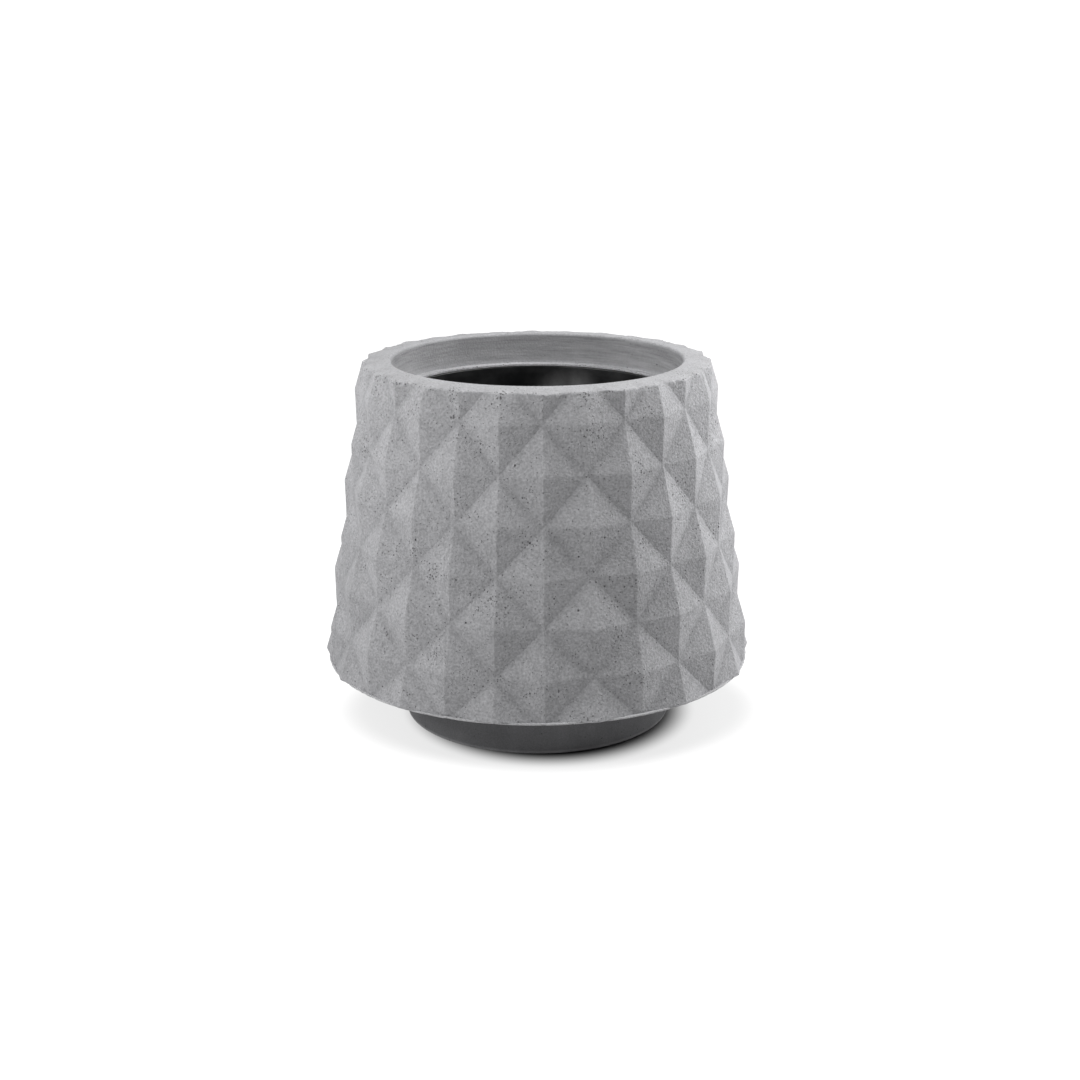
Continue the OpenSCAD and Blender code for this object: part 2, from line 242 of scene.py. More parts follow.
# Partly painted highlight: the lower edge is paler, broken up by the cloudy patches like scuffs.
scuff_and_edge_highlight = add(tree, "ShaderNodeMapRange", {0: up.outputs[2], 1: 7 * mm, 2: 12 * mm, 3: 1.2, 4: 0.0})
scuff_and_edge_highlight = add(tree, "ShaderNodeMath", {0: scuff_and_edge_highlight, 1: cloud}, operation="MULTIPLY", use_clamp=True)
colour = add(tree, "ShaderNodeMix", {0: scuff_and_edge_highlight, 6: colour.outputs[2], 7: linear("#b4b4b6")}, data_type="RGBA")
holes = add(tree, "ShaderNodeTexVoronoi", {"Vector": point, "Scale": 1 / (15 * mm)})
hole = add(tree, "ShaderNodeMapRange", {0: holes.outputs["Distance"], 1: 0.05, 2: 0.11, 3: 1.0, 4: 0.0})
colour = add(tree, "ShaderNodeMix", {0: hole, 6: colour.outputs[2], 7: linear("#4c4c4d")}, data_type="RGBA")
height = add(tree, "ShaderNodeMath", {0: hole, 1: -1.5, 2: sand}, operation="MULTIPLY_ADD")
bump = add(tree, "ShaderNodeBump", {"Strength": 0.6, "Distance": 0.5 * mm, "Height": height})
shader = add(tree, "ShaderNodeBsdfPrincipled", {"Base Color": colour.outputs[2], "Roughness": 0.86,
                                                "Specular IOR Level": 0.35, "Normal": bump})
add(tree, "ShaderNodeOutputMaterial", {"Surface": shader})

plinth = turned("dark_concrete_plinth", softened([
    (plinth_bore_r, plinth_low, plinth_bore_edge), (plinth_r, plinth_low, plinth_edge),
    (plinth_r, plinth_high, plinth_edge), (plinth_bore_r, plinth_high, plinth_bore_edge)]), 192)
plinth.data.materials.append(dark_concrete)
cut_low, cut_high = plinth_low - cut_past, plinth_high + cut_past
bolt_cut = turned("bolt_cut", [(0, cut_low), (bolt_recess_r, cut_low), (bolt_recess_r, bolt_seat_z),
                               (bolt_hole_r, bolt_seat_z), (bolt_hole_r, cut_high), (0, cut_high)], 48)
pad_cut = turned("pad_cut", [(0, cut_low), (pad_recess_r, cut_low), (pad_recess_r, pad_t), (0, pad_t)], 64)
for cutter, count, start in ((bolt_cut, bolt_count, 0), (pad_cut, pad_count, math.pi / pad_count)):
    grown(cutter, ring_of, copies=count, radius=plinth_mid_r, start=start, finish=dark_concrete)
    shaped(plinth, cutter, "DIFFERENCE")
plinth.data.set_sharp_from_angle(angle=crease)
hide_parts("plinth")
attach(plinth, "planter")

# Bedding ring: a strip of rubber laid on the plinth, so that concrete never rubs on concrete.
# The shell's weight squeezes it, so its two edges bulge.
bedding_low, bedding_high = 128 * mm, 132 * mm
bedding_inner, bedding_outer = 205 * mm, 270 * mm
bulge = 0.98 * (bedding_high - bedding_low) / 2
bedding = turned("rubber_bedding_ring", softened([
    (bedding_inner, bedding_low, bulge), (bedding_outer, bedding_low, bulge),
    (bedding_outer, bedding_high, bulge), (bedding_inner, bedding_high, bulge)]), 160)
bedding.data.materials.append(rubber)
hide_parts("bedding_ring")
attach(bedding, "planter")

# Plinth bolts and washers: four M12 hexagon bolts with plain washers, entered from below.
# They are zinc-plated steel, cold headed, with chamfered heads and a rolled thread.
bolt_r, bolt_top = 6 * mm, 160 * mm
head_af, head_h = 18 * mm, 7.5 * mm
shank_sunk, shank_plain = 0.5 * mm, 50 * mm
thread_pitch, thread_depth = 1.75 * mm, 1 * mm
tip_h, tip_drop = 2 * mm, 1.5 * mm
washer_r, washer_hole_r, washer_t = 12 * mm, 6.5 * mm, 2.5 * mm
washer_edge, washer_hole_edge = 0.5 * mm, 0.3 * mm
hex_crease = math.radians(30)

# Zinc plate on steel: a pale, slightly blue metal with soft cloudy patches and fine scuffs.
# The scuffs are drawn coarser than they are, so that they show.
zinc, tree, point = finish_named("zinc_plated_steel")
patch = add(tree, "ShaderNodeTexNoise",
            {"Vector": point, "Scale": 1 / (9 * mm), "Detail": 5.0, "Roughness": 0.65})
colour = add(tree, "ShaderNodeMix", {0: patch, 6: linear("#a9adb3"), 7: linear("#d6d8d6")}, data_type="RGBA")
dull = add(tree, "ShaderNodeMapRange", {0: patch, 1: 0.3, 2: 0.7, 3: 0.28, 4: 0.48})
scuffs = add(tree, "ShaderNodeTexNoise", {"Vector": point, "Scale": 1 / (1 * mm), "Detail": 2.0})
bump = add(tree, "ShaderNodeBump", {"Strength": 0.15, "Distance": 0.1 * mm, "Height": scuffs})
shader = add(tree, "ShaderNodeBsdfPrincipled", {"Base Color": colour.outputs[2], "Metallic": 1.0,
                                                "Roughness": dull, "Normal": bump})
add(tree, "ShaderNodeOutputMaterial", {"Surface": shader})


def hexagon(name, af, low, high, hole_r=0):
    """A hexagon nut or bolt head with turned chamfers, and a hole where it has one."""
    corner_r = af / math.sqrt(3)
    block = turned(name, [(0, low), (corner_r, low), (corner_r, high), (0, high)], 6)
    block.data.transform(Matrix.Rotation(math.pi / 6, 4, "Z"))
    chamfer_h = 1.4 * (corner_r - af / 2) * math.tan(math.radians(30))
    face_r = 0.97 * af / 2
    round_r = 1.001 * corner_r
    turning = turned(name + "_turning", [
        (hole_r, low), (face_r, low), (round_r, low + chamfer_h),
        (round_r, high - chamfer_h), (face_r, high), (hole_r, high)], 96)
    shaped(block, turning, "INTERSECT")
    cleaned = bmesh.new()
    cleaned.from_mesh(block.data)
    bmesh.ops.remove_doubles(cleaned, verts=cleaned.verts, dist=0.01 * mm)
    cleaned.to_mesh(block.data)
    cleaned.free()
    return block


head_top = bolt_seat_z - washer_t
bolt = hexagon("zinc_plinth_bolts", head_af, head_top - head_h, head_top)
shank = [(0, head_top - shank_sunk), (bolt_r, head_top - shank_sunk)]
turn_z = head_top + shank_plain
while turn_z + thread_pitch < bolt_top - tip_h:
    shank += [(bolt_r, turn_z), (bolt_r - thread_depth, turn_z + thread_pitch / 2)]
    turn_z += thread_pitch
shank += [(bolt_r, turn_z), (bolt_r - tip_drop, bolt_top), (0, bolt_top)]
shank = turned("bolt_shank", shank, 32)
joined = bmesh.new()
joined.from_mesh(bolt.data)
joined.from_mesh(shank.data)
joined.to_mesh(bolt.data)
joined.free()
bpy.data.objects.remove(shank)
bolt.data.shade_smooth()
bolt.data.set_sharp_from_angle(angle=hex_crease)
grown(bolt, ring_of, copies=bolt_count, radius=plinth_mid_r, start=0, finish=zinc)
washers = turned("zinc_plinth_washers", softened([
    (washer_hole_r, head_top, washer_hole_edge), (washer_r, head_top, washer_edge),
    (washer_r, bolt_seat_z, washer_edge), (washer_hole_r, bolt_seat_z, washer_hole_edge)]), 48)
grown(washers, ring_of, copies=bolt_count, radius=plinth_mid_r, start=0, finish=zinc)
for piece, node in ((bolt, "plinth_bolts"), (washers, "plinth_washers")):
    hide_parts(node)
    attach(piece, "planter")

# Cast-in sockets: turned steel sleeves with an anchor foot, set in the mould before the concrete is poured.
# Four in the underside take the plinth bolts, and four in the floor take lifting eyes. They are zinc plated.
for name in ("plinth_sockets", "lifting_sockets"):
    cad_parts[name].data.materials.clear()
    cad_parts[name].data.materials.append(zinc)

# Shell: the body of the planter, grey concrete cast in a split mould lined with rubber, with fourteen flat
# four-sided points round each row. The rim is struck off with a slight fall outwards, the ledge in the mouth
# takes a cover, and the worn mould leaves eased ridges, chipped arrises and small air holes.
rim_z, shell_z, floor_z, ledge_z = 760 * mm, 132 * mm, 222 * mm, 694 * mm
rim_valley_r, foot_valley_r = 349 * mm, 438 * mm
mouth_r, mouth_edge, rim_fall = 297 * mm, 6.5 * mm, 4 * mm
cavity_top_r, cavity_floor_r, opening_r = 286 * mm, 276 * mm, 70 * mm
diamonds, row_pitch, first_row_z, relief_h = 14, 96 * mm, 698 * mm, 16 * mm
ridge_ease, valley_ease, wave_h, chip_d, chip_slant = 0.9985, 0.02, 3 * mm, 3 * mm, 0.6
cap_count, cap_circle_r, cap_recess_r, cap_recess_z = 4, 200 * mm, 20 * mm, 218 * mm
cup_steps = 48
foot_lip_r, foot_top_z = 443 * mm, 136 * mm
facet_crease = math.radians(11)
# Parts of a half diamond, closer together at its ridges so that these stay crisp.
half_parts = [0, 0.015, 0.035, 0.07, 0.13, 0.21, 0.3, 0.4]
parts = half_parts + [0.5] + [1 - part for part in reversed(half_parts[1:])]
columns = [half + part for half in range(2 * diamonds) for part in parts]


def valley_r(z):
    """Radius of the valleys between the points, at a height."""
    return rim_valley_r + (rim_z - z) / (rim_z - shell_z) * (foot_valley_r - rim_valley_r)


def cavity_r(z):
    """Radius of the cavity at a height. It leans, so that the casting comes off its core."""
    return cavity_floor_r + (cavity_top_r - cavity_floor_r) * (z - floor_z) / (ledge_z - floor_z)


# Each row round the shell: radius, height, share of the relief, nearness to a chipped arris (above zero at
# the rim, below zero at the foot), share of the trowelled collar and share of the struck rim and ledge, which
# are painted paler, partly for their struck skin and partly as painted light on their top faces.
arris, chip_reach, foot_arris = 3 * mm, 13 * mm, -0.4
rim_edge_z = rim_z - rim_fall
under_arris = rim_edge_z - arris
clear = 3 * mm
heights = [first_row_z - (row + part) * row_pitch for row in range(-1, 7) for part in parts]
heights = [z for z in heights if foot_top_z + clear < z <= under_arris - clear]
heights = [under_arris, under_arris - 2 * mm, *heights, foot_top_z + 1.5 * mm, foot_top_z + 0.2 * mm]
rows = [(valley_r(z), z, 1, max(0, 1 - (rim_edge_z - z) / chip_reach), 0, 0) for z in heights]
outer_count = len(rows)
lip_back_r = foot_lip_r - 8 * mm
rows += [(r, z, 0, foot_arris, 0, 0) for r, z in softened(
    [(lip_back_r, foot_top_z, 0), (foot_lip_r, foot_top_z, 1.2 * mm), (foot_lip_r, shell_z, 1.5 * mm),
     (lip_back_r, shell_z, 0)], 30)[2:-2]]
underside = [r * mm for r in (433, 400, 340, 280, 220, 160, 100)]
rows += [(r, shell_z, 0, 0, 0, 0) for r in underside]
rows += [(r, z, 0, 0, 0, 0) for r, z in softened(
    [(underside[-1], shell_z, 0), (opening_r, shell_z, 4 * mm), (opening_r, floor_z, 3 * mm),
     (underside[-1], floor_z, 0)])[1:-1]]
floor_inner_row = len(rows) - 1
rows += [(r, z, 0, 0, 0, 0) for r, z in softened(
    [(250 * mm, floor_z, 0), (cavity_floor_r, floor_z, 6 * mm),
     (cavity_floor_r + 1 * mm, floor_z + 50 * mm, 0)])[1:]]
ledge_reach, wall_rows = 4 * mm, 8
for k in range(2, wall_rows + 1):
    z = floor_z + (ledge_z - ledge_reach - floor_z) * k / wall_rows
    rows.append((cavity_r(z), z, 0, 0, 0, 0))
# The ledge rows take the rim share too, which paints the ledge's narrow top paler as painted light.
for r, z in softened(
        [(cavity_top_r, ledge_z - ledge_reach, 0), (cavity_top_r, ledge_z, 1.5 * mm),
         (mouth_r, ledge_z, 2 * mm), (mouth_r, ledge_z + 6 * mm, 0)])[1:]:
    collar_part = min(1, max(0, (z - ledge_z) / ledge_reach))
    rows.append((r, z, 0, 0, collar_part, max(0, 2 - abs(z - ledge_z) / (1 * mm))))
rows += [(mouth_r, ledge_z + h * mm, 0, 0, 1, 0) for h in range(12, 56, 7)]
rim_flat_r, rim_out_r, rim_blend = mouth_r + 12 * mm, rim_valley_r - arris, 7 * mm
for r, z in softened(
        [(mouth_r, ledge_z + 57 * mm, 0), (mouth_r, rim_z, mouth_edge), (rim_flat_r, rim_z, 0)])[1:]:
    down = (rim_z - z) / rim_blend
    rows.append((r, z, 0, 0, max(0, down), max(0, 1 - down)))
for inwards, share in ((26 * mm, 0.25), (17 * mm, 0.55), (11 * mm, 0.75), (7 * mm, 0.88), (4 * mm, 0.95)):
    z = rim_edge_z + rim_fall * inwards / (rim_out_r - rim_flat_r)
    rows.append((rim_out_r - inwards, z, share, max(0, 1 - inwards / chip_reach), 0, 1))
for k in (3, 2, 1):
    t = math.radians(30 * k)
    r = valley_r(rim_edge_z) - arris * (1 - math.cos(t))
    rows.append((r, rim_edge_z - arris * (1 - math.sin(t)), 1, 1, 0, k / 3))

form = bmesh.new()
shares = [form.verts.layers.float.new(name) for name in
          ("relief_share", "arris_share", "collar_share", "rim_skin_and_top_light_share")]
rings = []
for r, z, *row_shares in rows:
    ring = []
    for column in columns:
        t = math.pi * column / diamonds
        corner = form.verts.new((r * math.sin(t), -r * math.cos(t), z))
        for layer, share in zip(shares, row_shares):
            corner[layer] = share
        ring.append(corner)
    rings.append(ring)
for j, ring in enumerate(rings):
    if j == floor_inner_row:
        continue
    lower = rings[(j + 1) % len(rings)]
    middle_z = (rows[j][1] + rows[(j + 1) % len(rows)][1]) / 2
    row = math.floor((first_row_z - middle_z) / row_pitch)
    for k, column in enumerate(columns):
        n = (k + 1) % len(columns)
        a, b, c, d = ring[k], ring[n], lower[n], lower[k]
        if j >= outer_count - 1:
            form.faces.new((a, b, c, d))
        elif (math.floor(column) + row) % 2 == 0:
            form.faces.new((a, b, c))
            form.faces.new((a, c, d))
        else:
            form.faces.new((a, b, d))
            form.faces.new((b, c, d))
loops = [form.edges.get((ring[k - 1], ring[k])) for ring in
         (rings[floor_inner_row], rings[floor_inner_row + 1]) for k in range(len(columns))]
for n in range(cap_count):
    turn = 2 * math.pi * (n + 0.5) / cap_count
    middle = Vector((cap_circle_r * math.cos(turn), cap_circle_r * math.sin(turn), 0))
    turns = [2 * math.pi * k / cup_steps for k in range(cup_steps)]
    circle = [(cap_recess_r * math.cos(t), cap_recess_r * math.sin(t)) for t in turns]
    cup = [[form.verts.new(middle + Vector((x, y, z))) for x, y in circle] for z in (floor_z, cap_recess_z)]
    for k in range(cup_steps):
        form.faces.new((cup[0][k - 1], cup[0][k], cup[1][k], cup[1][k - 1]))
    form.faces.new(cup[1])
    loops += [form.edges.get((cup[0][k - 1], cup[0][k])) for k in range(cup_steps)]
bmesh.ops.triangle_fill(form, use_beauty=True, edges=loops)
cast = bpy.data.meshes.new("concrete_shell")
form.to_mesh(cast)
form.free()
shell = placed("concrete_shell", cast)

# Grey concrete from a mould: pale cement paste with grey sand, rough patches of pin holes, and open air holes
# in loose groups. The struck rim and the ledge are paler, partly a struck skin and partly painted light on
# their top faces. Worn ridges, chips and the foot line are paler, partly wear and partly a painted highlight.
# The valleys are darkened with painted shade. The tone is darker towards the bottom, and the collar darker
# towards its top. The trowel leaves streaks and a closed skin on the collar. The sand and the pin holes are
# drawn about three times their real size, so that they show from a distance.
concrete, tree, point = finish_named("cast_grey_concrete")
cloud = add(tree, "ShaderNodeTexNoise",
            {"Vector": point, "Scale": 1 / (110 * mm), "Detail": 3.0, "Roughness": 0.55})
mottle = add(tree, "ShaderNodeTexNoise",
             {"Vector": point, "Scale": 1 / (22 * mm), "Detail": 4.0, "Roughness": 0.6})
sand = add(tree, "ShaderNodeTexNoise",
           {"Vector": point, "Scale": 1 / (4.5 * mm), "Detail": 2.0, "Roughness": 0.6})
collar = add(tree, "ShaderNodeAttribute", attribute_name="collar_share").outputs["Fac"]
open_skin = add(tree, "ShaderNodeMapRange", {0: collar, 3: 1.0, 4: 0.6})
sand = add(tree, "ShaderNodeMath", {0: sand, 1: open_skin}, operation="MULTIPLY")
up = add(tree, "ShaderNodeSeparateXYZ", {0: point})
# The tone is darker towards the bottom of the shell.
darker_towards_bottom = add(tree, "ShaderNodeMapRange", {0: up.outputs[2], 1: 200 * mm, 2: 680 * mm, 3: 0.055, 4: 0.14})
tone = add(tree, "ShaderNodeMath", {0: cloud, 1: 0.3, 2: darker_towards_bottom}, operation="MULTIPLY_ADD")
tone = add(tree, "ShaderNodeMath", {0: mottle, 1: 0.25, 2: tone}, operation="MULTIPLY_ADD")
tone = add(tree, "ShaderNodeMath", {0: sand, 1: 0.8, 2: tone}, operation="MULTIPLY_ADD")
tone = add(tree, "ShaderNodeMapRange", {0: tone, 1: 0.45, 2: 1.1})
colour = add(tree, "ShaderNodeMix", {0: tone, 6: linear("#8a8a8c"), 7: linear("#d6d6d9")}, data_type="RGBA")
# Partly painted light: the struck rim and the ledge are paler, partly a struck skin, partly light on their
# tops.
rim_skin_and_top_light = add(tree, "ShaderNodeAttribute", attribute_name="rim_skin_and_top_light_share")
rim_skin_and_top_light = add(tree, "ShaderNodeMath", {0: rim_skin_and_top_light.outputs["Fac"], 1: 0.3}, operation="MULTIPLY")
colour = add(tree, "ShaderNodeMix", {0: rim_skin_and_top_light, 6: colour.outputs[2], 7: linear("#dcdcde")}, data_type="RGBA")
# Ridges, chips and the foot line are paler: partly wear, partly a painted highlight.
edge_wear_and_highlight = add(tree, "ShaderNodeAttribute", attribute_name="edge_wear_and_highlight")
edge_wear_and_highlight = add(tree, "ShaderNodeMath", {0: edge_wear_and_highlight.outputs["Fac"], 1: 0.4}, operation="MULTIPLY")
colour = add(tree, "ShaderNodeMix", {0: edge_wear_and_highlight, 6: colour.outputs[2], 7: linear("#dededf")}, data_type="RGBA")
# Painted shade: the valleys between the points are darkened.
valley = add(tree, "ShaderNodeAttribute", attribute_name="valley")
valley = add(tree, "ShaderNodeMath", {0: valley.outputs["Fac"], 1: 0.15}, operation="MULTIPLY")
colour = add(tree, "ShaderNodeMix", {0: valley, 6: colour.outputs[2], 7: linear("#6a6a6c")}, data_type="RGBA")
streak = add(tree, "ShaderNodeMapping", {"Vector": point, "Scale": (0.06, 0.06, 1.0)})
streak = add(tree, "ShaderNodeTexNoise",
             {"Vector": streak, "Scale": 1 / (5 * mm), "Detail": 4.0, "Roughness": 0.65})
streak = add(tree, "ShaderNodeMapRange", {0: streak, 1: 0.3, 2: 0.7})
# The collar is darker towards its top.
darker_towards_collar_top = add(tree, "ShaderNodeMapRange", {0: up.outputs[2], 1: ledge_z, 2: rim_z - 10 * mm, 3: 0.3, 4: -0.15})
streak = add(tree, "ShaderNodeMath", {0: streak, 1: darker_towards_collar_top}, operation="ADD", use_clamp=True)
trowelled = add(tree, "ShaderNodeMix", {0: streak, 6: linear("#868688"), 7: linear("#bababc")},
                data_type="RGBA")
closed = add(tree, "ShaderNodeMath", {0: collar, 1: 0.65}, operation="MULTIPLY")
colour = add(tree, "ShaderNodeMix", {0: closed, 6: colour.outputs[2], 7: trowelled.outputs[2]},
             data_type="RGBA")
pins = add(tree, "ShaderNodeTexVoronoi", {"Vector": point, "Scale": 1 / (5.5 * mm)})
kept = add(tree, "ShaderNodeSeparateColor", {0: pins.outputs["Color"]})
kept = add(tree, "ShaderNodeMapRange", {0: kept.outputs[0], 1: 0.4, 2: 1.0, 3: 0.0, 4: 0.2})
rough = add(tree, "ShaderNodeTexNoise", {"Vector": point, "Scale": 1 / (60 * mm), "Detail": 2.0})
rough = add(tree, "ShaderNodeMapRange", {0: rough, 1: 0.52, 2: 0.7, 3: 0.0, 4: 0.18})
arris_near = add(tree, "ShaderNodeAttribute", attribute_name="arris_share")
rough = add(tree, "ShaderNodeMath", {0: arris_near.outputs["Fac"], 1: 0.1, 2: rough},
            operation="MULTIPLY_ADD")
rough = add(tree, "ShaderNodeMath", {0: collar, 1: -0.15, 2: rough}, operation="MULTIPLY_ADD")
kept = add(tree, "ShaderNodeMath", {0: kept, 1: rough}, operation="ADD")
pin = add(tree, "ShaderNodeMath", {0: kept, 1: pins.outputs["Distance"]}, operation="SUBTRACT")
pin = add(tree, "ShaderNodeMapRange", {0: pin, 1: -0.05, 2: 0.05, 3: 0.0, 4: 0.7})
colour = add(tree, "ShaderNodeMix", {0: pin, 6: colour.outputs[2], 7: linear("#585858")}, data_type="RGBA")
holes = add(tree, "ShaderNodeTexVoronoi", {"Vector": point, "Scale": 1 / (24 * mm)})
group = add(tree, "ShaderNodeTexNoise", {"Vector": point, "Scale": 1 / (130 * mm), "Detail": 1.0})
kept = add(tree, "ShaderNodeSeparateColor", {0: holes.outputs["Color"]})
kept = add(tree, "ShaderNodeMath", {0: kept.outputs[0], 1: group}, operation="MULTIPLY")
kept = add(tree, "ShaderNodeMapRange", {0: kept, 1: 0.2, 2: 0.55, 3: 0.0, 4: 0.09})
hole = add(tree, "ShaderNodeMath", {0: kept, 1: holes.outputs["Distance"]}, operation="SUBTRACT")
hole = add(tree, "ShaderNodeMapRange", {0: hole, 1: -0.015, 2: 0.025, 3: 0.0, 4: 0.9})
colour = add(tree, "ShaderNodeMix", {0: hole, 6: colour.outputs[2], 7: linear("#505050")}, data_type="RGBA")
height = add(tree, "ShaderNodeMath", {0: pin, 1: -1.0, 2: sand}, operation="MULTIPLY_ADD")
height = add(tree, "ShaderNodeMath", {0: hole, 1: -2.0, 2: height}, operation="MULTIPLY_ADD")
bump = add(tree, "ShaderNodeBump", {"Strength": 1.0, "Distance": 1.8 * mm, "Height": height})
shader = add(tree, "ShaderNodeBsdfPrincipled", {"Base Color": colour.outputs[2], "Roughness": 0.9,
                                                "Specular IOR Level": 0.25, "Normal": bump})
add(tree, "ShaderNodeOutputMaterial", {"Surface": shader})

# The rule of the relief: a point stands out of each crossing of odd columns and rows, its four faces run down
# to the valleys, and the ridges and valleys are eased. Slow waves and chipped arrises come on top.
relief, given = tree_with(
    "diamond_relief", diamonds="Float", row_pitch="Float", first_row="Float", height="Float", ease="Float",
    waves="Float", chips="Float", finish="Material")
at = add(relief, "GeometryNodeInputPosition")
xyz = add(relief, "ShaderNodeSeparateXYZ", {0: at})
near = add(relief, "ShaderNodeMath", {0: xyz.outputs[1], 1: -1.0}, operation="MULTIPLY")
turn = add(relief, "ShaderNodeMath", {0: xyz.outputs[0], 1: near}, operation="ARCTAN2")
half_turn = add(relief, "ShaderNodeMath", {0: math.pi, 1: given.outputs["diamonds"]}, operation="DIVIDE")
u = add(relief, "ShaderNodeMath", {0: turn, 1: half_turn}, operation="DIVIDE")
v = add(relief, "ShaderNodeMath", {0: given.outputs["first_row"], 1: xyz.outputs[2]}, operation="SUBTRACT")
v = add(relief, "ShaderNodeMath", {0: v, 1: given.outputs["row_pitch"]}, operation="DIVIDE")
waves = []
for count in (u, v):
    swing = add(relief, "ShaderNodeMath", {0: count, 1: math.pi}, operation="MULTIPLY")
    swing = add(relief, "ShaderNodeMath", {0: swing}, operation="COSINE")
    swing = add(relief, "ShaderNodeMath", {0: swing, 1: given.outputs["ease"]}, operation="MULTIPLY")
    swing = add(relief, "ShaderNodeMath", {0: swing}, operation="ARCCOSINE")
    waves.append(add(relief, "ShaderNodeMath", {0: swing, 1: math.pi}, operation="DIVIDE"))
off = add(relief, "ShaderNodeMath", {0: u, 1: 1.0}, operation="PINGPONG")
off = add(relief, "ShaderNodeMath", {0: off, 1: 0.5}, operation="PINGPONG")
gap = add(relief, "ShaderNodeMath", {0: waves[0], 1: waves[1]}, operation="SUBTRACT")
square = add(relief, "ShaderNodeMath", {0: gap, 1: gap}, operation="MULTIPLY")
square = add(relief, "ShaderNodeMath", {0: square, 1: valley_ease**2}, operation="ADD")
lift = add(relief, "ShaderNodeMath", {0: square}, operation="SQRT")
stand = add(relief, "ShaderNodeMath", {0: lift, 1: given.outputs["height"]}, operation="MULTIPLY")
part = add(relief, "ShaderNodeMath", {0: u}, operation="FRACT")
part = add(relief, "ShaderNodeMath", {0: part, 1: 0.5}, operation="SUBTRACT")
part = add(relief, "ShaderNodeMath", {0: part, 1: half_turn}, operation="MULTIPLY")
part = add(relief, "ShaderNodeMath", {0: part}, operation="COSINE")
half_cell = add(relief, "ShaderNodeMath", {0: half_turn, 1: 0.5}, operation="MULTIPLY")
flat = add(relief, "ShaderNodeMath", {0: half_cell}, operation="COSINE")
flat = add(relief, "ShaderNodeMath", {0: flat, 1: part}, operation="DIVIDE")
level = add(relief, "ShaderNodeVectorMath", {0: at, 1: (1.0, 1.0, 0.0)}, operation="MULTIPLY")
radius = add(relief, "ShaderNodeVectorMath", {0: level}, operation="LENGTH").outputs["Value"]
outward = add(relief, "ShaderNodeVectorMath", {0: level}, operation="NORMALIZE")
target = add(relief, "ShaderNodeMath", {0: radius, 1: stand}, operation="ADD")
target = add(relief, "ShaderNodeMath", {0: target, 1: flat}, operation="MULTIPLY")
push = add(relief, "ShaderNodeMath", {0: target, 1: radius}, operation="SUBTRACT")
relief_share = add(relief, "GeometryNodeInputNamedAttribute", {"Name": "relief_share"}, data_type="FLOAT")
push = add(relief, "ShaderNodeMath", {0: push, 1: relief_share.outputs[0]}, operation="MULTIPLY")
slow = add(relief, "ShaderNodeTexNoise",
           {"Vector": at, "Scale": 1 / (90 * mm), "Detail": 3.0, "Roughness": 0.6})
slow = add(relief, "ShaderNodeMath", {0: slow, 1: 0.5}, operation="SUBTRACT")
slow = add(relief, "ShaderNodeMath", {0: slow, 1: given.outputs["waves"]}, operation="MULTIPLY")
slow = add(relief, "ShaderNodeMath", {0: slow, 1: relief_share.outputs[0]}, operation="MULTIPLY")
push = add(relief, "ShaderNodeMath", {0: push, 1: slow}, operation="ADD")
arris_share = add(relief, "GeometryNodeInputNamedAttribute", {"Name": "arris_share"}, data_type="FLOAT")
chip = add(relief, "ShaderNodeTexNoise",
           {"Vector": at, "Scale": 1 / (16 * mm), "Detail": 1.0, "Roughness": 0.6})
chip = add(relief, "ShaderNodeMapRange", {0: chip, 1: 0.5, 2: 0.76, 3: 0.0, 4: 1.0})
chip = add(relief, "ShaderNodeMath", {0: chip, 1: given.outputs["chips"]}, operation="MULTIPLY")
chip = add(relief, "ShaderNodeMath", {0: chip, 1: arris_share.outputs[0]}, operation="MULTIPLY")
chip_in = add(relief, "ShaderNodeMath", {0: chip}, operation="ABSOLUTE")
push = add(relief, "ShaderNodeMath", {0: push, 1: chip_in}, operation="SUBTRACT")
chip_down = add(relief, "ShaderNodeMath", {0: chip, 1: -chip_slant}, operation="MULTIPLY")
chip_down = add(relief, "ShaderNodeCombineXYZ", {2: chip_down})
move = add(relief, "ShaderNodeVectorMath", {0: outward, "Scale": push}, operation="SCALE")
move = add(relief, "ShaderNodeVectorMath", {0: move, 1: chip_down}, operation="ADD")
# The ridges, the chips and the foot line, to be painted paler: partly wear, partly a painted highlight.
near_u = add(relief, "ShaderNodeMapRange", {0: off, 1: 0.0, 2: 0.035, 3: 0.35, 4: 0.0})
ridge_wear_and_highlight = add(relief, "ShaderNodeMath", {0: near_u, 1: lift}, operation="MULTIPLY")
ridge_wear_and_highlight = add(relief, "ShaderNodeMath", {0: ridge_wear_and_highlight, 1: relief_share.outputs[0]}, operation="MULTIPLY")
bare = add(relief, "ShaderNodeMath", {0: chip_in, 1: 1 / (4 * mm)}, operation="MULTIPLY", use_clamp=True)
foot_wear_and_highlight = add(relief, "ShaderNodeMath", {0: arris_share.outputs[0], 1: 1 / foot_arris},
           operation="MULTIPLY", use_clamp=True)
edge_wear_and_highlight = add(relief, "ShaderNodeMath", {0: ridge_wear_and_highlight, 1: bare}, operation="MAXIMUM")
edge_wear_and_highlight = add(relief, "ShaderNodeMath", {0: edge_wear_and_highlight, 1: foot_wear_and_highlight}, operation="MAXIMUM")
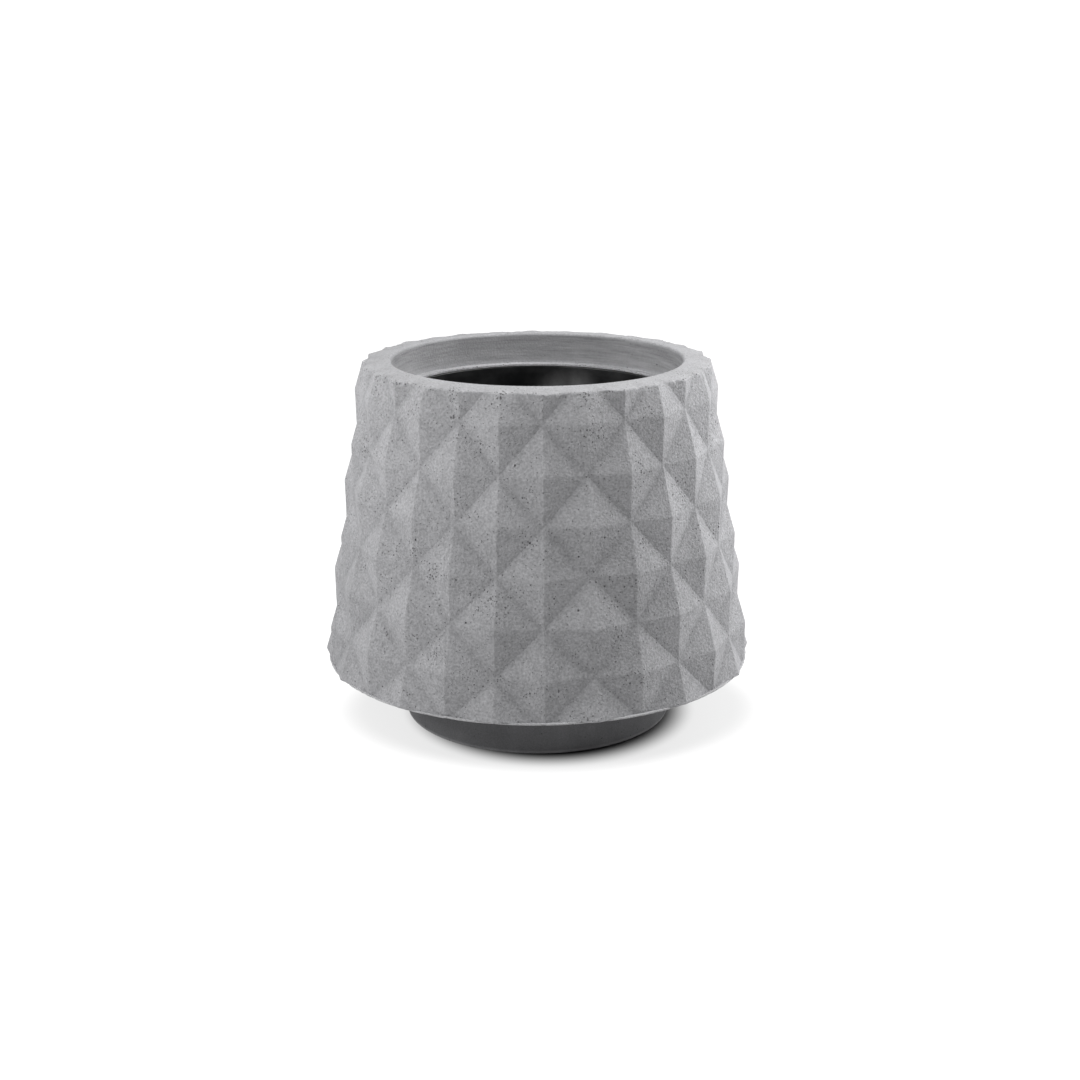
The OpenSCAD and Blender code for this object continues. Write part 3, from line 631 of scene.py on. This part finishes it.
# Where the valleys lie, for the painted shade in them.
valley = add(relief, "ShaderNodeMapRange", {0: lift, 1: 0.0, 2: 0.25, 3: 1.0, 4: 0.0},
             interpolation_type="SMOOTHSTEP")
valley = add(relief, "ShaderNodeMath", {0: valley, 1: relief_share.outputs[0]}, operation="MULTIPLY")
body = given.outputs["Geometry"]
for name, field in (("edge_wear_and_highlight", edge_wear_and_highlight), ("valley", valley)):
    body = add(relief, "GeometryNodeStoreNamedAttribute", {"Geometry": body, "Name": name, "Value": field},
               data_type="FLOAT", domain="POINT")
body = add(relief, "GeometryNodeSetPosition", {"Geometry": body, "Offset": move})
body = add(relief, "GeometryNodeRealizeInstances", {"Geometry": body})
body = add(relief, "GeometryNodeSetMaterial", {"Geometry": body, "Material": given.outputs["finish"]})
add(relief, "NodeGroupOutput", {0: body})
grown(shell, relief, diamonds=float(diamonds), row_pitch=row_pitch, first_row=first_row_z, height=relief_h,
      ease=ridge_ease, waves=wave_h, chips=chip_d, finish=concrete)
shell.data.set_sharp_from_angle(angle=facet_crease)
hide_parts("shell")
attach(shell, "planter")

# Socket caps: four plastic plugs that keep the lifting sockets clean while the tub is in.
# They are moulded discs with an eased edge and a slot for a coin, and lie just below the floor.
cap_r, cap_low, cap_high = 19.8 * mm, 218 * mm, 221.5 * mm
cap_stem_r, cap_stem_low = 7.95 * mm, 206 * mm
cap_edge, cap_low_edge = 1 * mm, 0.4 * mm
cap_slot_l, cap_slot_w, cap_slot_d = 1.2 * cap_r, 3 * mm, 1.6 * mm

# Polypropylene, injection moulded: a smooth black plastic with a soft sheen and a fine spark-eroded grain,
# which is drawn coarser than it is, so that it shows.
moulded, tree, point = finish_named("moulded_black_plastic")
haze = add(tree, "ShaderNodeTexNoise", {"Vector": point, "Scale": 1 / (25 * mm), "Detail": 3.0})
colour = add(tree, "ShaderNodeMix", {0: haze, 6: linear("#1c1c1e"), 7: linear("#2c2c2e")}, data_type="RGBA")
sheen = add(tree, "ShaderNodeMapRange", {0: haze, 1: 0.3, 2: 0.7, 3: 0.36, 4: 0.5})
grain = add(tree, "ShaderNodeTexNoise", {"Vector": point, "Scale": 1 / (0.8 * mm), "Detail": 2.0})
bump = add(tree, "ShaderNodeBump", {"Strength": 0.2, "Distance": 0.08 * mm, "Height": grain})
shader = add(tree, "ShaderNodeBsdfPrincipled", {"Base Color": colour.outputs[2], "Roughness": sheen,
                                                "IOR": 1.49, "Normal": bump})
add(tree, "ShaderNodeOutputMaterial", {"Surface": shader})

caps = turned("plastic_socket_caps", softened([
    (0, cap_stem_low, 0), (cap_stem_r, cap_stem_low, cap_edge), (cap_stem_r, cap_low, 0),
    (cap_r, cap_low, cap_low_edge), (cap_r, cap_high, cap_edge), (0, cap_high, 0)], 20), 48)
half_diagonal = math.sqrt(0.5)
slot_cut = turned("slot_cut", [(0, -0.5), (half_diagonal, -0.5), (half_diagonal, 0.5), (0, 0.5)], 4)
slot_size = Matrix.Diagonal((cap_slot_l, cap_slot_w, 2 * cap_slot_d, 1))
slot_place = Matrix.Translation((0, 0, cap_high))
slot_cut.data.transform(slot_place @ slot_size @ Matrix.Rotation(math.pi / 4, 4, "Z"))
shaped(caps, slot_cut, "DIFFERENCE")
grown(caps, ring_of, copies=cap_count, radius=cap_circle_r, start=math.pi / cap_count, finish=moulded)
caps.data.set_sharp_from_angle(angle=crease)
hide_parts("socket_caps")
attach(caps, "planter")

# Tub: the black inner pot that holds the soil, rotationally moulded from polyethylene.
# Its rim is thickened, its lower corner is round, and two moulded grips inside let two people lift it out.
tub_low, tub_floor_z, tub_top = 222 * mm, 228 * mm, 691 * mm
tub_wall, tub_rim_t, tub_rim_h, tub_corner = 5 * mm, 8 * mm, 15 * mm, 25 * mm
tub_gap, tub_step_h, tub_step_round, tub_edge = 4 * mm, 40 * mm, 60 * mm, 2.5 * mm
stem_hole_r, stem_hole_edge = 26 * mm, 1 * mm
# Where the painted sheen sits on the tub's far wall, and how far it spreads.
sheen_spot, sheen_core, sheen_edge = (80 * mm, 262 * mm, 605 * mm), 30 * mm, 95 * mm
grip_turn, grip_steps = math.radians(22), 24
grip_edge, grip_tip_edge = 4 * mm, 3 * mm
grip_top, grip_h, grip_reach, grip_lip = 651 * mm, 22 * mm, 24 * mm, 7.3 * mm


def tub_r(z):
    """Outer radius of the tub's wall, which leans as the shell's cavity does."""
    return cavity_r(z) - tub_gap


# Polyethylene from a hot turning mould: black with a satin skin, a slight orange peel and a little grey dust.
# One soft pale patch high on the far wall is a painted sheen, set into the plastic's colour.
tub_plastic, tree, point = finish_named("rotomoulded_polyethylene")
dust_and_sheen_noise = add(tree, "ShaderNodeTexNoise",
           {"Vector": point, "Scale": 1 / (60 * mm), "Detail": 5.0, "Roughness": 0.65})
dust_and_sheen = add(tree, "ShaderNodeMapRange", {0: dust_and_sheen_noise, 1: 0.45, 2: 0.75, 3: 0.0, 4: 0.1})
# Painted sheen: a soft pale patch high on the far wall, mixed into the colour with the dust.
reach = add(tree, "ShaderNodeVectorMath", {0: point, 1: sheen_spot}, operation="DISTANCE")
painted_sheen = add(tree, "ShaderNodeMapRange",
            {0: reach.outputs["Value"], 1: sheen_core, 2: sheen_edge, 3: 2.2, 4: 0.0},
            interpolation_type="SMOOTHSTEP")
dust_and_sheen = add(tree, "ShaderNodeMath", {0: painted_sheen, 1: dust_and_sheen_noise, 2: dust_and_sheen}, operation="MULTIPLY_ADD", use_clamp=True)
colour = add(tree, "ShaderNodeMix", {0: dust_and_sheen, 6: linear("#151516"), 7: linear("#747474")}, data_type="RGBA")
sheen = add(tree, "ShaderNodeMapRange", {0: dust_and_sheen_noise, 1: 0.3, 2: 0.7, 3: 0.3, 4: 0.5})
peel = add(tree, "ShaderNodeTexNoise", {"Vector": point, "Scale": 1 / (6 * mm), "Detail": 2.0})
bump = add(tree, "ShaderNodeBump", {"Strength": 0.2, "Distance": 0.5 * mm, "Height": peel})
shader = add(tree, "ShaderNodeBsdfPrincipled", {"Base Color": colour.outputs[2], "Roughness": sheen,
                                                "IOR": 1.52, "Normal": bump})
add(tree, "ShaderNodeOutputMaterial", {"Surface": shader})

rim_low = tub_top - tub_rim_h
step_low = rim_low - tub_step_h
rim_r = tub_r(tub_top)
tub = turned("black_tub", softened([
    (stem_hole_r, tub_low, stem_hole_edge), (tub_r(tub_low), tub_low, tub_corner), (rim_r, tub_top, tub_edge),
    (rim_r - tub_rim_t, tub_top, tub_edge), (rim_r - tub_rim_t, rim_low, tub_step_round),
    (tub_r(step_low) - tub_wall, step_low, tub_step_round),
    (tub_r(tub_low) - tub_wall, tub_floor_z, tub_corner - tub_wall),
    (stem_hole_r, tub_floor_z, stem_hole_edge)], 10), 192)
wall_r = tub_r(grip_top) - tub_wall
root_r, tip_r = wall_r + tub_wall / 2, wall_r - grip_reach
section = softened([
    (root_r, grip_top, 0), (tip_r, grip_top, grip_edge), (tip_r, grip_top - grip_h, grip_tip_edge),
    (tip_r + grip_lip, grip_top - grip_h, grip_tip_edge), (tip_r + grip_lip, grip_top - grip_lip, grip_edge),
    (root_r, grip_top - grip_lip, 0)], 20)
for side in (0, math.pi):
    bar = bmesh.new()
    slices = []
    for k in range(grip_steps + 1):
        turn = side + grip_turn * (k / grip_steps - 0.5)
        slices.append([bar.verts.new((r * math.cos(turn), r * math.sin(turn), z)) for r, z in section])
    for one, two in zip(slices, slices[1:]):
        for k in range(len(section)):
            bar.faces.new((one[k - 1], one[k], two[k], two[k - 1]))
    bar.faces.new(slices[0])
    bar.faces.new(slices[-1])
    grip_mesh = bpy.data.meshes.new("grip")
    bar.to_mesh(grip_mesh)
    bar.free()
    shaped(tub, placed("grip", grip_mesh), "UNION")
tub.data.materials.clear()
tub.data.materials.append(tub_plastic)
tub.data.set_sharp_from_angle(angle=crease)
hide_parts("liner")
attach(tub, "tub")

# Drain outlet, seal and back nut: a flanged plastic outlet clamped through the floor of the tub.
# The rubber seal lies under the flange, and the nut is screwed up from below.
nut_z, flange_z, flange_top = 208 * mm, 231 * mm, 236 * mm
spigot_low, spigot_r, stem_r, bore_r, flange_r = 185 * mm, 24 * mm, 25 * mm, 20 * mm, 45 * mm
seal_r, seal_edge, seal_hole_edge = 43 * mm, 1.4 * mm, 0.5 * mm
nut_af, nut_hole_r = 76 * mm, 25.05 * mm
outlet = turned("plastic_drain_outlet", softened([
    (bore_r, spigot_low, 1 * mm), (spigot_r, spigot_low, 1.5 * mm), (spigot_r, nut_z, 0),
    (stem_r, nut_z, 0.4 * mm), (stem_r, flange_z, 0), (flange_r, flange_z, 0.8 * mm),
    (flange_r, flange_top, 1 * mm), (bore_r, flange_top, 1.5 * mm)]), 96)
outlet.data.materials.append(moulded)
seal = turned("rubber_drain_seal", softened([
    (stem_hole_r, tub_floor_z, seal_hole_edge), (seal_r, tub_floor_z, seal_edge),
    (seal_r, flange_z, seal_edge), (stem_hole_r, flange_z, seal_hole_edge)]), 96)
seal.data.materials.append(rubber)
nut = hexagon("plastic_back_nut", nut_af, nut_z, tub_low, nut_hole_r)
nut.data.materials.clear()
nut.data.materials.append(moulded)
nut.data.shade_smooth()
nut.data.set_sharp_from_angle(angle=hex_crease)
for piece, node, finish in ((outlet, "drain_outlet", "black_plastic"), (seal, "drain_seal", "rubber"),
                            (nut, "drain_nut", "black_plastic")):
    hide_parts(node)
    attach(piece, "tub")

# Strainer: a slotted plastic cap that stands on the outlet's flange and keeps soil out of it.
# A short skirt round the flange holds it in place, and it lifts off by hand.
strainer_inner_r, strainer_wall, strainer_top = 41 * mm, 3 * mm, 258 * mm
strainer_r, skirt_r, skirt_h = strainer_inner_r + strainer_wall, 45.4 * mm, 3 * mm
slot_count, slot_w, slot_h = 16, 6 * mm, 13 * mm
strainer = turned("plastic_drain_strainer", softened([
    (skirt_r, flange_top - skirt_h, 0.4 * mm), (skirt_r + strainer_wall, flange_top - skirt_h, 0.8 * mm),
    (skirt_r + strainer_wall, flange_top, 1.5 * mm), (strainer_r, flange_top + strainer_wall, 1 * mm),
    (strainer_r, strainer_top, 3 * mm), (0, strainer_top, 0),
    (0, strainer_top - strainer_wall, 0), (strainer_inner_r, strainer_top - strainer_wall, 1.5 * mm),
    (strainer_inner_r, flange_top, 0.3 * mm), (skirt_r, flange_top, 0.3 * mm)]), 96)
slotting, given = tree_with(
    "slots_round", slots="Int", radius="Float", width="Float", low="Float", tall="Float", deep="Float",
    finish="Material")
cutter_size = add(slotting, "ShaderNodeCombineXYZ", {0: given.outputs["deep"], 1: given.outputs["width"],
                                                     2: given.outputs["tall"]})
cutter = add(slotting, "GeometryNodeMeshCube", {"Size": cutter_size})
middle_z = add(slotting, "ShaderNodeMath", {0: given.outputs["tall"], 1: 0.5, 2: given.outputs["low"]},
               operation="MULTIPLY_ADD")
raised = add(slotting, "ShaderNodeCombineXYZ", {2: middle_z})
cutter = add(slotting, "GeometryNodeTransform", {"Geometry": cutter, "Translation": raised})
cutters = add(slotting, "GeometryNodeGroup",
              {"Geometry": cutter, "copies": given.outputs["slots"], "radius": given.outputs["radius"],
               "finish": given.outputs["finish"]}, node_tree=ring_of)
slotted = add(slotting, "GeometryNodeMeshBoolean", {"Mesh 1": given.outputs["Geometry"], "Mesh 2": cutters},
              operation="DIFFERENCE", solver="EXACT")
slotted = add(slotting, "GeometryNodeRealizeInstances", {"Geometry": slotted})
slotted = add(slotting, "GeometryNodeSetMaterial", {"Geometry": slotted, "Material": given.outputs["finish"]})
add(slotting, "NodeGroupOutput", {0: slotted})
grown(strainer, slotting, slots=slot_count, radius=strainer_inner_r + strainer_wall / 2, width=slot_w,
      low=flange_top + 1.5 * strainer_wall, tall=slot_h, deep=3 * strainer_wall, finish=moulded)
strainer.data.set_sharp_from_angle(angle=crease)
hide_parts("drain_strainer")
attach(strainer, "strainer")

# Studio: a plain pale floor under a white surround, and six large soft boxes at the sides and behind.
# The camera stands where the photograph was taken from.
floor_reach, floor_edges = 2.2, 96
under_right, under_start, under_end = 24 * mm, 268 * mm, 345 * mm
beside_right, beside_start, beside_end = 26 * mm, 390 * mm, 500 * mm
box_away, box_size = 3, 1.6
camera_turn, camera_place = math.radians(-1.691), Vector((0, -3.52169, 1.39841))
camera_pitch, camera_yaw, camera_roll = math.radians(16.267), math.radians(0.089), math.radians(-0.109)
camera_lens, camera_sensor, camera_sight = 58.055, 36, 100
floor_mesh = bpy.data.meshes.new("studio_floor")
turns = [math.tau * k / floor_edges for k in range(floor_edges)]
edge = [(floor_reach * math.cos(t), floor_reach * math.sin(t), 0) for t in turns]
floor_mesh.from_pydata(edge, [], [range(floor_edges)])
studio_floor = bpy.data.objects.new("studio_floor", floor_mesh)
bpy.context.scene.collection.objects.link(studio_floor)

# White paper on a lit table: it glows, and painted shadows dim the glow, softly under the overhang of the
# shell and fully under the plinth. Both painted shadow ovals lie a little to the right. What the eye sees of
# the glow is brighter than what it throws on the planter.
paper, tree, point = finish_named("lit_white_paper")
# Painted shadow under the plinth: the glow is put out close in and rises outwards.
oval = add(tree, "ShaderNodeMapping",
           {"Vector": point, "Location": (-under_right, 0.0, 0.0), "Scale": (1.08, 1.0, 1.0)})
away = add(tree, "ShaderNodeVectorMath", {0: oval}, operation="LENGTH").outputs["Value"]
under = add(tree, "ShaderNodeMapRange", {0: away, 1: under_start, 2: under_end, 3: 0.0, 4: 0.77},
            interpolation_type="SMOOTHSTEP")
# Painted shadow under the overhang of the shell: a dimmer oval further out.
oval = add(tree, "ShaderNodeMapping",
           {"Vector": point, "Location": (-beside_right, 0.0, 0.0), "Scale": (1.0, 1.26, 1.0)})
away = add(tree, "ShaderNodeVectorMath", {0: oval}, operation="LENGTH").outputs["Value"]
beside = add(tree, "ShaderNodeMapRange", {0: away, 1: beside_start, 2: beside_end, 3: 0.0, 4: 0.28},
             interpolation_type="SMOOTHSTEP")
glow = add(tree, "ShaderNodeMath", {0: under, 1: beside}, operation="ADD")
seen = add(tree, "ShaderNodeLightPath")
throw = add(tree, "ShaderNodeMapRange", {0: seen.outputs["Is Camera Ray"], 3: 0.45, 4: 1.0})
glow = add(tree, "ShaderNodeMath", {0: glow, 1: throw}, operation="MULTIPLY")
shader = add(tree, "ShaderNodeBsdfPrincipled", {
    "Base Color": linear("#606060"), "Roughness": 0.9, "Specular IOR Level": 0.1,
    "Emission Color": (1, 1, 1, 1), "Emission Strength": glow})
add(tree, "ShaderNodeOutputMaterial", {"Surface": shader})
floor_mesh.materials.append(paper)

world = bpy.data.worlds.new("white_surround")
world.use_nodes = True
bpy.context.scene.world = world
world.node_tree.nodes.clear()
seen = add(world.node_tree, "ShaderNodeLightPath")
bright = add(world.node_tree, "ShaderNodeMapRange", {0: seen.outputs["Is Camera Ray"], 3: 0.132, 4: 1.1})
surround = add(world.node_tree, "ShaderNodeBackground", {"Color": (1, 1, 1, 1), "Strength": bright})
add(world.node_tree, "ShaderNodeOutputWorld", {"Surface": surround})

aim = Vector((0, 0, 0.42))
for name, azimuth, elevation, power in (
        ("left_box", -60, 33, 50), ("left_rear_box", -122, 15, 22),
        ("right_top_box", 80, 50, 39), ("right_box", 95, 30, 31), ("right_low_box", 110, 12, 11),
        ("right_rear_box", 125, 15, 22)):
    light = bpy.data.lights.new(name, "AREA")
    light.shape, light.size, light.size_y, light.energy = "RECTANGLE", box_size, box_size, power
    lamp = bpy.data.objects.new(name, light)
    lifted = Matrix.Rotation(math.radians(-elevation), 3, "X") @ Vector((0, -box_away, 0))
    lamp.location = aim + Matrix.Rotation(math.radians(azimuth), 3, "Z") @ lifted
    lamp.rotation_euler = (aim - lamp.location).to_track_quat("-Z", "Y").to_euler()
    bpy.context.scene.collection.objects.link(lamp)

turn_back = Matrix.Rotation(camera_turn, 3, "Z")
level_x, level_y = math.sin(camera_yaw), math.cos(camera_yaw)
fore, drop = math.cos(camera_pitch), math.sin(camera_pitch)
ahead = turn_back @ Vector((level_x * fore, level_y * fore, -drop))
level = ahead.cross(Vector((0, 0, 1))).normalized()
upright = level.cross(ahead)
right = level * math.cos(camera_roll) + upright * math.sin(camera_roll)
up = upright * math.cos(camera_roll) - level * math.sin(camera_roll)
lens = bpy.data.cameras.new("photo_camera")
lens.lens, lens.sensor_width, lens.clip_end = camera_lens, camera_sensor, camera_sight
camera = bpy.data.objects.new("photo_camera", lens)
facing = Matrix((right, up, -ahead)).transposed().to_4x4()
camera.matrix_world = Matrix.Translation(turn_back @ camera_place) @ facing
bpy.context.scene.collection.objects.link(camera)
bpy.context.scene.camera = camera
bpy.context.scene.view_settings.view_transform = "Standard"
